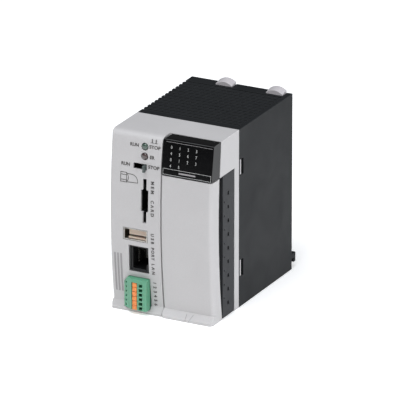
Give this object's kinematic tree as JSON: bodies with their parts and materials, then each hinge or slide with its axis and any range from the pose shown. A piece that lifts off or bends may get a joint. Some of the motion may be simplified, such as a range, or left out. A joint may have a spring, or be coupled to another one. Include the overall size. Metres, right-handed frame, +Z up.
{
  "type": "plc module",
  "caption": "Rack-mounted controller module with a bowed port column, a swing door over screw terminals, a smoked indicator window and a ventilated rear housing.",
  "frame": {"origin": "middle of the base of the module", "axes": "+X to the right seen from the front, +Y to the rear face that meets the rack, +Z up"},
  "size_m": [0.06, 0.101, 0.103],
  "materials": {
    "housing_abs": "fine moulded texture, dark grey",
    "bezel_abs": "fine moulded texture, light grey",
    "latch_abs": "moulded, light grey",
    "smoked_window": "polished smoked polycarbonate",
    "clear_guide": "clear moulded light guide",
    "green_lens": "tinted moulded lens",
    "red_lens": "tinted moulded lens",
    "terminal_plastic": "moulded, dark grey",
    "green_plastic": "moulded, green",
    "orange_plastic": "moulded, orange",
    "black_plastic": "moulded, black",
    "cream_plastic": "moulded, cream",
    "grey_knob": "moulded, grey",
    "circuit_board": "solder-masked glass laminate",
    "steel": "nickel plated",
    "brass": "gold-flashed contact",
    "aluminium": "extruded, satin",
    "sleeve": "shrunk vinyl sleeve"
  },
  "bodies": {
    "module": {"rear_housing": "housing_abs", "front_bezel": "bezel_abs", "indicator_cover": "smoked_window", "indicator_guide": "clear_guide", "run_lens": "green_lens", "fault_lens": "red_lens", "mode_switch_body": "black_plastic", "card_socket": "black_plastic", "usb_shell": "steel", "usb_tongue": "cream_plastic", "network_jack": "black_plastic", "network_contacts": "brass", "plug_header": "green_plastic", "header_pins": "brass", "terminal_block": "terminal_plastic", "terminal_socket": "black_plastic", "block_screw_bottom": "steel", "block_screw_top": "steel", "hinge_pin": "steel", "latch_spring_left": "steel", "latch_spring_right": "steel", "main_board": "circuit_board", "io_board": "circuit_board", "power_board": "circuit_board", "indicator_board": "circuit_board", "processor": "black_plastic", "memory_chip": "black_plastic", "battery_holder": "black_plastic", "battery": "sleeve", "heat_sink": "aluminium", "power_transformer": "black_plastic", "capacitor_upper": "sleeve", "capacitor_lower": "sleeve", "backplane_connector": "black_plastic", "board_screw_1": "steel", "board_screw_2": "steel", "board_screw_3": "steel", "board_screw_4": "steel", "io_screw_1": "steel", "io_screw_2": "steel"},
    "door": {"terminal_door": "bezel_abs"},
    "lock_left": {"lock_button_left": "latch_abs"},
    "lock_right": {"lock_button_right": "latch_abs"},
    "mode": {"mode_knob": "grey_knob"},
    "plug": {"field_plug": "green_plastic"},
    "release_1": {"release_button_1": "orange_plastic"},
    "release_2": {"release_button_2": "orange_plastic"},
    "release_3": {"release_button_3": "orange_plastic"},
    "release_4": {"release_button_4": "orange_plastic"},
    "release_5": {"release_button_5": "orange_plastic"},
    "release_6": {"release_button_6": "orange_plastic"}
  },
  "joints": [
    {"name": "door_hinge", "type": "hinge", "parent": "module", "child": "door", "pos_m": [0.0034, -0.0464, 0.04], "axis": [0, 0, -1], "range_deg": [0, 100]},
    {"name": "lock_left_press", "type": "slide", "parent": "module", "child": "lock_left", "axis": [0, 0, -1], "range_m": [0, 0.003], "stiffness_N_per_m": 600, "deforming": ["latch_spring_left"]},
    {"name": "lock_right_press", "type": "slide", "parent": "module", "child": "lock_right", "axis": [0, 0, -1], "range_m": [0, 0.003], "stiffness_N_per_m": 600, "deforming": ["latch_spring_right"]},
    {"name": "mode_slide", "type": "slide", "parent": "module", "child": "mode", "axis": [-1, 0, 0], "range_m": [0, 0.0054]},
    {"name": "plug_pull", "type": "slide", "parent": "module", "child": "plug", "axis": [0, -1, 0], "range_m": [0, 0.012]},
    {"name": "release_1_press", "type": "slide", "parent": "plug", "child": "release_1", "axis": [0, 1, 0], "range_m": [0, 0.0011], "stiffness_N_per_m": 600},
    {"name": "release_2_press", "type": "slide", "parent": "plug", "child": "release_2", "axis": [0, 1, 0], "range_m": [0, 0.0011], "stiffness_N_per_m": 600},
    {"name": "release_3_press", "type": "slide", "parent": "plug", "child": "release_3", "axis": [0, 1, 0], "range_m": [0, 0.0011], "stiffness_N_per_m": 600},
    {"name": "release_4_press", "type": "slide", "parent": "plug", "child": "release_4", "axis": [0, 1, 0], "range_m": [0, 0.0011], "stiffness_N_per_m": 600},
    {"name": "release_5_press", "type": "slide", "parent": "plug", "child": "release_5", "axis": [0, 1, 0], "range_m": [0, 0.0011], "stiffness_N_per_m": 600},
    {"name": "release_6_press", "type": "slide", "parent": "plug", "child": "release_6", "axis": [0, 1, 0], "range_m": [0, 0.0011], "stiffness_N_per_m": 600}
  ]
}
